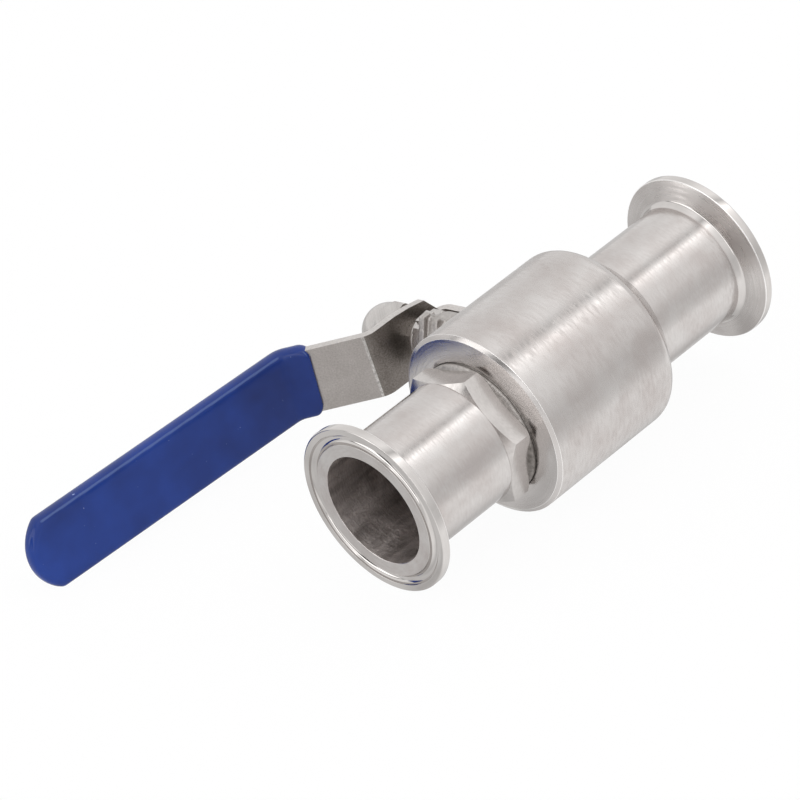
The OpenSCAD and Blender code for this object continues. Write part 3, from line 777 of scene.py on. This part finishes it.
def dipped_vinyl():
    """Blue vinyl: faint clouds and dust specks, with a painted highlight along its upper edge."""
    deep_blue, blue = (0.005, 0.020, 0.13, 1), (0.012, 0.046, 0.27, 1)
    # The paler blue is the colour of the painted highlight on the upper edge.
    speck_blue, highlight_blue = (0.25, 0.32, 0.6, 1), (0.085, 0.14, 0.34, 1)
    material, shader, add = new_material("blue_vinyl")
    place = add("ShaderNodeTexCoord").outputs
    cloud = add("ShaderNodeTexNoise", {
        "Vector": place["Object"], "Scale": 45.0, "Detail": 3.0,
    }).outputs[0]
    dust = add("ShaderNodeTexNoise", {"Vector": place["Object"], "Scale": 700.0}).outputs[0]
    clouded = blended(add, mapped(add, cloud, (0.28, 0.72)), deep_blue, blue)
    dusty = blended(add, mapped(add, dust, (0.745, 0.79)), clouded, speck_blue)
    # A painted highlight lightens the upper edge where the skin faces this way; the flat bar's edge stands
    # under it.
    highlight_way = Vector((0.05, 0.56, -0.83)).normalized()
    highlight_facing = add("ShaderNodeVectorMath", {0: place["Normal"], 1: highlight_way}, operation="DOT_PRODUCT")
    upper_edge_highlight = mapped(add, highlight_facing.outputs["Value"], (0.975, 0.998), (0, 0.6))
    wear = add("ShaderNodeGroup", {"Size": 120.0}, node_tree=HANDLING).outputs
    fill(shader, {
        "Base Color": blended(add, upper_edge_highlight, dusty, highlight_blue),
        "Roughness": mapped(add, wear["Smears"], (0, 1), (0.1, 0.26)),
        "Normal": bumped(add, cloud, depth=0.08, strength=0.6),
        "Specular IOR Level": 0.35,
    })
    return material


sleeve = eased_copy("lever_sleeve_dipped", "lever_sleeve", width=0)
soften(sleeve, cell=0.45, passes=14)
bpy.ops.object.shade_smooth()
# The dip ended a little aslant: the mouth's corners are round, and the mouth is drawn up along the
# ramp, more on its -Y side.
sleeve_w, corner_round, drawn_len = 22.4 * MM, 4 * MM, 6 * MM
drawn_least, drawn_more = 0.3 * MM, 1.5 * MM
ramp_turn = math.radians(49)
ramp_way = Vector((math.cos(ramp_turn), 0, math.sin(ramp_turn)))
mouth = min(point.co.dot(ramp_way) for point in sleeve.data.vertices)
corner_at = sleeve_w / 2 - corner_round
for point in sleeve.data.vertices:
    depth = point.co.dot(ramp_way) - mouth
    if depth < corner_round and abs(point.co.y) > corner_at:
        room = math.sqrt(corner_round**2 - (corner_round - depth) ** 2)
        out = corner_at + (abs(point.co.y) - corner_at) * room / corner_round
        point.co.y = math.copysign(out, point.co.y)
    if depth < drawn_len:
        drawn = drawn_least + drawn_more * (0.5 - point.co.y / sleeve_w)
        point.co += ramp_way * drawn * (1 - depth / drawn_len)
finish(sleeve, "blue_vinyl", (dipped_vinyl(),), "lever_set", "lever_sleeve")

# Pieces out of sight: the polished ball, seats, seals and packing of white
# polymer, and the stem's rubber ring. They keep their CAD shapes.


def seat_polymer():
    """White polymer, unevenly yellowed."""
    white, yellowed = (0.84, 0.82, 0.76, 1), (0.78, 0.76, 0.69, 1)
    material, shader, add = new_material("seat_polymer")
    wear = add("ShaderNodeGroup", node_tree=HANDLING).outputs
    fill(shader, {"Base Color": blended(add, wear["Smears"], white, yellowed), "Roughness": 0.5})
    return material


def seal_rubber():
    """Black rubber, unevenly dull."""
    material, shader, add = new_material("seal_rubber")
    wear = add("ShaderNodeGroup", node_tree=HANDLING).outputs
    fill(shader, {
        "Base Color": (0.012, 0.012, 0.012, 1),
        "Roughness": mapped(add, wear["Smears"], (0, 1), (0.45, 0.7)),
    })
    return material


BALL_STEEL = turned_steel(
    "ball_steel", (0.72, 0.71, 0.70), (0.66, 0.65, 0.64),
    gloss=0.04, dull=0.08, fineness=3000.0, depth=0.0002,
)
for material, hidden_parts in (
    (BALL_STEEL, ("ball",)),
    (seat_polymer(), ("seat_front", "seat_rear", "body_seal", "thrust_washer",
                      "packing_lower", "packing_middle", "packing_upper")),
    (seal_rubber(), ("stem_o_ring",)),
):
    for part in hidden_parts:
        parts[part].data.materials.clear()
        parts[part].data.materials.append(material)

# Table: white, flat and just under the valve, which lies on its side. It shows
# from above only, and the camera sees little more of it than the valve's shadow.


def grey_ramp(add, place, stops, warm=0.985):
    """A ramp of greys by a place from 0 to 1, its stops given as (place, level)."""
    ramp = add("ShaderNodeValToRGB", {"Fac": place})
    elements = ramp.color_ramp.elements
    elements[0].position, elements[1].position = stops[0][0], stops[-1][0]
    for at, _ in stops[1:-1]:
        elements.new(at)
    for element, (at, level) in zip(elements, stops):
        element.position = at
        element.color = (level, level * (1 + warm) / 2, level * warm, 1)
    return ramp.outputs["Color"]


def table_white():
    """Matt white that the metal mirrors as a ramp of greys and the camera almost sees through."""
    material, shader, add = new_material("white_table")
    fill(shader, {"Base Color": (0.9, 0.9, 0.9, 1), "Roughness": 0.8})
    # The metal mirrors the table as a painted ramp of greys: painted shade far towards -Z and a painted
    # shadow of the valve just under it. The ramp runs from 25 mm on the +Z side to 225 mm on the other.
    ramp_start, ramp_len = 25 * MM, 250 * MM
    place = add("ShaderNodeTexCoord").outputs["Object"]
    away = add("ShaderNodeVectorMath", {0: place, 1: (0, 0, -1 / ramp_len)}, operation="DOT_PRODUCT")
    shifted = add("ShaderNodeMath", {0: away.outputs["Value"], 1: ramp_start / ramp_len}, operation="ADD")
    mirrored_shade_ramp = grey_ramp(add, shifted.outputs[0], (
        (0.0, 0.7), (0.094, 0.74), (0.116, 0.6), (0.137, 0.68), (0.158, 0.86), (0.18, 0.95),
        (0.204, 1.02), (0.35, 1.05), (0.48, 0.86), (0.75, 0.76), (1.0, 0.76),
    ))
    glow = add("ShaderNodeEmission", {"Color": mirrored_shade_ramp})
    path = add("ShaderNodeLightPath").outputs
    mirrored = add("ShaderNodeMath", {
        0: path["Is Glossy Ray"], 1: path["Is Transmission Ray"],
    }, operation="MAXIMUM")
    lit = add("ShaderNodeMixShader", {
        "Fac": mirrored.outputs[0], 1: shader.outputs[0], 2: glow.outputs[0],
    })
    # The camera sees through to the white world, and so also the closed lever, which turns down
    # past the table's plane. What is left keeps a faint shadow.
    clear_share = 0.96
    back_side = add("ShaderNodeNewGeometry").outputs["Backfacing"]
    share = add("ShaderNodeMath", {0: path["Is Camera Ray"], 1: clear_share}, operation="MULTIPLY")
    through = add("ShaderNodeMath", {0: share.outputs[0], 1: back_side}, operation="MAXIMUM")
    glass = add("ShaderNodeBsdfTransparent")
    surface = add("ShaderNodeMixShader", {
        "Fac": through.outputs[0], 1: lit.outputs[0], 2: glass.outputs[0],
    })
    fill(material.node_tree.nodes["Material Output"], {"Surface": surface.outputs[0]})
    return material


table_up = Vector((-0.0625, 0.987, -0.149)).normalized()
table_drop, table_size = 29.8 * MM, 6.0
deselect_all()
bpy.ops.mesh.primitive_plane_add(size=table_size)
table = bpy.context.object
table.name = "table"
table.matrix_world = (
    Matrix.Translation(-table_up * table_drop) @ table_up.to_track_quat("Z", "X").to_matrix().to_4x4()
)
bpy.ops.object.transform_apply(location=True, rotation=True, scale=True)
table.data.materials.append(table_white())
table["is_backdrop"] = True

# Light tent: a soft white tent all round, with hoops of light and dark towards
# the pipe's ends, which the turned faces and the bores mirror.

studio = bpy.data.worlds.new("studio")
bpy.context.scene.world = studio
studio.use_nodes = True
add = adder(studio.node_tree)
way = add("ShaderNodeTexCoord").outputs["Generated"]
apart = add("ShaderNodeSeparateXYZ", {0: way}).outputs
# The tent's level by the angle round the pipe, in degrees from -Z up towards +Y.
tent = (
    (-60, 1.0), (-30, 0.95), (-22, 0.8), (-10, 0.72), (2, 0.8), (14, 0.92), (27, 1.0), (39, 1.02),
    (49, 1.2), (57, 1.45), (63, 1.8), (68, 1.2), (75, 0.66), (80, 0.88), (88, 1.12), (100, 1.1),
    (111, 1.03), (124, 0.98), (136, 0.94), (150, 0.92), (180, 0.92),
)
downward = add("ShaderNodeMath", {0: apart["Z"], 1: -1.0}, operation="MULTIPLY").outputs[0]
angle = add("ShaderNodeMath", {0: apart["Y"], 1: downward}, operation="ARCTAN2").outputs[0]
whole_turn = mapped(add, angle, (-math.pi, math.pi))
sides = grey_ramp(add, whole_turn, [((degrees + 180) / 360, level) for degrees, level in tent])
# The hoops' share and their level by the way along the pipe, from 0 at -X to 1 at +X.
reach = mapped(add, apart["X"], (-1, 1))
hoop_share = grey_ramp(
    add, reach, ((0.0, 1.0), (0.1, 1.0), (0.13, 0.0), (0.79, 0.0), (0.81, 1.0), (1.0, 1.0)), warm=1.0
)
hoops = grey_ramp(add, reach, (
    (0.0, 0.9), (0.8, 0.85), (0.815, 0.1), (0.832, 0.05), (0.842, 1.9), (0.93, 1.9), (0.945, 0.05),
    (0.975, 0.1), (0.985, 1.3), (1.0, 1.3),
))
mirrored_tent = blended(add, hoop_share, sides, hoops)
camera_ray = add("ShaderNodeLightPath").outputs["Is Camera Ray"]
backdrop = blended(add, camera_ray, mirrored_tent, (1, 1, 1, 1))
fill(studio.node_tree.nodes["Background"], {"Color": backdrop})

# Lamp and camera: a weak softbox above the table for a faint shadow, and a long
# lens at the place from which the photograph was taken.

lamp_way = Vector((-0.35, 0.82, -0.45)).normalized()
lamp_far = 1.1
deselect_all()
bpy.ops.object.light_add(type="AREA")
softbox = bpy.context.object
softbox.name = "softbox"
softbox.data.size = 0.5
softbox.data.energy = 1.0
softbox.visible_glossy = False
softbox.location = lamp_way * lamp_far
softbox.rotation_mode = "QUATERNION"
softbox.rotation_quaternion = lamp_way.to_track_quat("Z", "Y")

camera = bpy.data.objects.new("camera", bpy.data.cameras.new("camera"))
bpy.context.scene.collection.objects.link(camera)
camera.data.sensor_width = 36.0
camera.data.lens = 189.32
camera.data.clip_start, camera.data.clip_end = 0.05, 20.0
camera_at = Vector((626.66, 524.19, -800.80)) * MM
right = Vector((-0.67949, -0.29557, -0.67152))
down = Vector((0.51914, -0.84045, -0.15538))
forward = right.cross(down).normalized()
camera_turn = Matrix((right, -down, -forward)).transposed().to_4x4()
camera.matrix_world = Matrix.Translation(camera_at) @ camera_turn
bpy.context.scene.camera = camera
bpy.context.scene.view_settings.view_transform = "Standard"

low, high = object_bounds()
